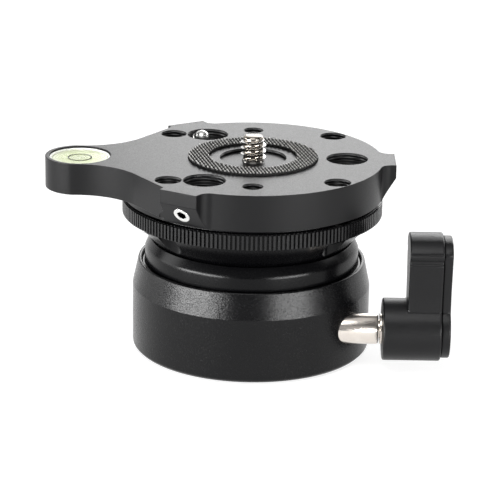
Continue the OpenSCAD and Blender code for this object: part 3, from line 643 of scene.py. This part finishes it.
def spirit(name, middle, edge, highlight_from_mm, highlight_at_mm):
    # Dyed spirit over a white floor: a pale yellow-green, painted towards near white at the wall of the cup
    # as a painted highlight of the window's edge.
    finish, tree, skin, place = new_finish(name)
    centre = add_node(tree, "ShaderNodeMapping", {"Vector": place, "Location": (-level_x, 0, 0)})
    flat = add_node(tree, "ShaderNodeVectorMath", {0: centre.outputs[0], 1: (1, 1, 0)}, operation="MULTIPLY")
    reach = add_node(tree, "ShaderNodeVectorMath", {0: flat.outputs[0]}, operation="LENGTH")
    fade = add_node(tree, "ShaderNodeMapRange", {
        "Value": reach.outputs["Value"], "From Min": highlight_from_mm / 1000, "From Max": highlight_at_mm / 1000})
    colour = add_node(tree, "ShaderNodeMix", {0: fade.outputs[0], 6: linear(middle), 7: linear(edge)},
                      data_type="RGBA")
    tree.links.new(colour.outputs[2], skin.inputs["Base Color"])
    skin.inputs["Roughness"].default_value = 0.3
    return finish


# The second colour is the painted highlight near the wall of the cup.
green_spirit = spirit("pale green spirit", "#c8d496", "#dfe4c8", highlight_from_mm=4.6, highlight_at_mm=6.7)
spirit_top = window_top - cap_t - 0.1
spirit_rows = [(0, spirit_foot), (spirit_r - inset, spirit_foot), (spirit_r - inset, spirit_top - 0.1),
               (spirit_r - 0.12, spirit_top), (0, spirit_top)]
level_spirit = turned("level_spirit", [spirit_rows], green_spirit, 96)
fit(set_at_level(level_spirit), "top", "level_liquid", "level_fluid")


def printed(name, dark, light, patch_mm):
    # Screen-printing ink: a dense matt line with a slightly uneven tone.
    finish, tree, skin, place = new_finish(name)
    patchy = add_node(tree, "ShaderNodeTexNoise", {"Vector": place, "Scale": 1000 / patch_mm, "Detail": 2.0})
    colour = add_node(tree, "ShaderNodeMix", {0: patchy.outputs["Fac"], 6: linear(dark), 7: linear(light)},
                      data_type="RGBA")
    tree.links.new(colour.outputs[2], skin.inputs["Base Color"])
    skin.inputs["Roughness"].default_value = 0.6
    return finish


ink = printed("black printing ink", "#14160c", "#2a2d1c", patch_mm=0.6)
ring_in, ring_out, ring_foot = 2.64, 2.98, window_top - cap_t - 0.05
ring_top = ring_foot + 0.04
ring_rows = [(ring_in, ring_foot), (ring_out, ring_foot), (ring_out, ring_top), (ring_in, ring_top)]
target_ring = turned("level_target_ring", [ring_rows], ink, 96, closed=True)
fit(set_at_level(target_ring), "top", "level_body")


def clear(name, tint, cover, haze):
    # Clear acrylic: seen through, with a crisp gloss and a faint haze of fine scratches.
    finish, tree, skin, place = new_finish(name)
    scratch_mm, smooth, acrylic_index = 0.4, 0.02, 1.49
    scratch = add_node(tree, "ShaderNodeTexNoise", {
        "Vector": place, "Scale": 1000 / scratch_mm, "Detail": 4.0})
    gloss = add_node(tree, "ShaderNodeMapRange", {
        "Value": scratch.outputs["Fac"], "To Min": smooth, "To Max": haze})
    tree.links.new(gloss.outputs[0], skin.inputs["Roughness"])
    skin.inputs["Base Color"].default_value = linear(tint)
    skin.inputs["Alpha"].default_value = cover
    skin.inputs["IOR"].default_value = acrylic_index
    return finish


acrylic = clear("clear acrylic", "#f4f7e6", cover=0.05, haze=0.06)
window_r, window_foot = spirit_r + 0.14, window_top - cap_t
window_rows = [(0, window_foot), (window_r - 0.05, window_foot), (window_r, window_foot + 0.05),
               (window_r, window_top - 0.1), (window_r - 0.1, window_top - inset), (0, window_top - inset)]
level_window = turned("level_window", [window_rows], acrylic, 96, sharp=60)
fit(set_at_level(level_window), "top", "level_window", "level_lens")
air = clear("air bubble skin", "#fafbf2", cover=0.05, haze=0.6)
bubble_r, bubble_foot = 2.2, spirit_top + 0.01
bubble_rows = [(0, bubble_foot), (bubble_r, bubble_foot), (bubble_r + 0.08, bubble_foot + 0.02),
               (bubble_r, bubble_foot + 0.05), (0, bubble_foot + 0.06)]
bubble = turned("level_bubble", [bubble_rows], air, 64, sharp=80)
fit(set_at_level(bubble), "top", "level_window")


# Set screws: three ball-tipped grub screws in the lugs that grip the head from inside the wells.
# Chromed steel; the socket in the outer end is given dark colours as painted shade, and the ball tip shows in
# the well.

chromed = machined("bright chromed steel", "#ececea", "#dcdcda",
                   line_mm=0.2, axis="Z", relief_mm=0.003, smooth=0.2, rough=0.32)
# Painted shade: the socket faces take these dark colours for the shade inside the recess.
shaded_socket = machined("socket steel painted dark as shade", "#2c2c2d", "#1a1a1b",
                        line_mm=0.2, axis="Z", relief_mm=0.003, smooth=0.3, rough=0.45)
screw_rise = radians(32)
socket_r, socket_from, socket_to = 0.00122, 0.0002, 0.003
for side, turn in (("right", 0), ("back", radians(120)), ("front", radians(240))):
    grub = eased_copy(f"grub_screw_{side}", f"set_screw_{side}", 0.1, chromed)
    inward = Vector((-cos(screw_rise) * cos(turn), -cos(screw_rise) * sin(turn), sin(screw_rise)))
    points = [v.co for v in grub.data.vertices]
    middle = sum(points, Vector()) / len(points)
    outer_end = min((p - middle).dot(inward) for p in points)
    grub.data.materials.append(shaded_socket)
    for face in grub.data.polygons:
        along = (face.center - middle).dot(inward)
        beside = (face.center - middle - along * inward).length
        if beside < socket_r and socket_from < along - outer_end < socket_to:
            face.material_index = 1
    fit(grub, f"{side}_screw", "bright_steel", f"set_screw_{side}")


# Studio: a pale floor that sweeps up into a white backdrop, soft boxes all round, and the camera.
# Camera and mirror rays see the sweep as white, while the floor keeps the shadow of the object.

def sweep(name, outline, half_width, glow, pale):
    bm = bmesh.new()
    ends = [[bm.verts.new((x, y, z)) for y, z in outline] for x in (-half_width, half_width)]
    for a, b, c, d in zip(ends[0], ends[1], ends[1][1:], ends[0][1:]):
        bm.faces.new((a, b, c, d))
    mesh = bpy.data.meshes.new(name)
    bm.to_mesh(mesh)
    bm.free()
    mesh.shade_smooth()
    finish = bpy.data.materials.new(name + " paper")
    finish.use_nodes = True
    tree = finish.node_tree
    tree.nodes.clear()
    seen = add_node(tree, "ShaderNodeLightPath").outputs
    mirrored = add_node(tree, "ShaderNodeMath", {0: seen["Is Camera Ray"], 1: seen["Is Glossy Ray"]},
                        operation="MAXIMUM")
    shows = add_node(tree, "ShaderNodeMath", {0: mirrored.outputs[0], 1: seen["Is Transmission Ray"]},
                     operation="MAXIMUM")
    level = add_node(tree, "ShaderNodeMath", {0: shows.outputs[0], 1: glow}, operation="MULTIPLY")
    light = add_node(tree, "ShaderNodeEmission", {"Color": (1, 1, 1, 1), "Strength": level.outputs[0]})
    paper = add_node(tree, "ShaderNodeBsdfDiffuse", {"Color": linear(pale)})
    both = add_node(tree, "ShaderNodeAddShader", {0: light.outputs[0], 1: paper.outputs[0]})
    add_node(tree, "ShaderNodeOutputMaterial", {"Surface": both.outputs[0]})
    shown(name, mesh, finish)


floor_z, floor_front, bend_from, bend_r, half_width, wall_top = -0.0003, -1.6, 0.9, 0.4, 1.8, 1.6
sweep("studio_floor", [(floor_front, floor_z), (bend_from, floor_z)], half_width, 0.78, "#a8a8a8")
bend_turns = [i * pi / 24 for i in range(13)]
bend = [(bend_from + bend_r * sin(a), floor_z + bend_r - bend_r * cos(a)) for a in bend_turns]
sweep("studio_backdrop", bend + [(bend_from + bend_r, wall_top)], half_width, 1.0, "#303030")


def soft_box(name, place, aim, width, height, radiance):
    lamp = bpy.data.lights.new(name, "AREA")
    lamp.shape = "RECTANGLE"
    lamp.size = width
    lamp.size_y = height
    lamp.energy = 4 * width * height * radiance
    box = bpy.data.objects.new(name, lamp)
    box.location = place
    box.rotation_euler = (Vector(aim) - Vector(place)).to_track_quat("-Z", "Y").to_euler()
    box.visible_camera = False
    bpy.context.scene.collection.objects.link(box)


soft_box("top_soft_box", (-0.1, -0.36, 0.74), (0, 0, 0.03), 0.55, 0.42, 4.2)
soft_box("ceiling_bounce", (0, 0.1, 1.2), (0, 0, 0.03), 1.2, 0.7, 0.5)
soft_box("front_fill", (0, -1.0, 0.52), (0, 0, 0.03), 1.2, 0.4, 0.2)
soft_box("back_soft_box", (0.3, 0.78, 0.36), (0, 0, 0.045), 0.9, 0.36, 3.0)
soft_box("left_strip", (-0.7, 0.1, 0.2), (0, 0, 0.03), 0.3, 0.5, 3.6)
soft_box("right_strip", (0.7, 0.1, 0.3), (0, 0, 0.03), 0.2, 0.5, 1.8)
soft_box("front_left_box", (-0.74, -0.52, 0.1), (0, 0, 0.03), 0.8, 0.16, 32.0)
soft_box("front_right_box", (0.58, -0.69, 0.1), (0, 0, 0.03), 0.6, 0.16, 22.0)

room = bpy.data.worlds.new("studio room")
room.use_nodes = True
room.node_tree.nodes["Background"].inputs["Color"].default_value = (0.06, 0.06, 0.06, 1)
bpy.context.scene.world = room
bpy.context.scene.view_settings.view_transform = "Standard"

rise, distance, roll = radians(18.6), 0.6, radians(0.9)
look_at = Vector((-0.0004, 0, 0.02395))
focal_pixels, photo_pixels = 2420, 500
eye = bpy.data.cameras.new("photo_camera")
eye.sensor_width = 36
eye.lens = eye.sensor_width * focal_pixels / photo_pixels
camera = bpy.data.objects.new("photo_camera", eye)
camera.matrix_world = (Matrix.Translation(look_at + Vector((0, -distance * cos(rise), distance * sin(rise))))
                       @ Matrix.Rotation(pi / 2 - rise, 4, "X") @ Matrix.Rotation(roll, 4, "Z"))
bpy.context.scene.collection.objects.link(camera)
bpy.context.scene.camera = camera
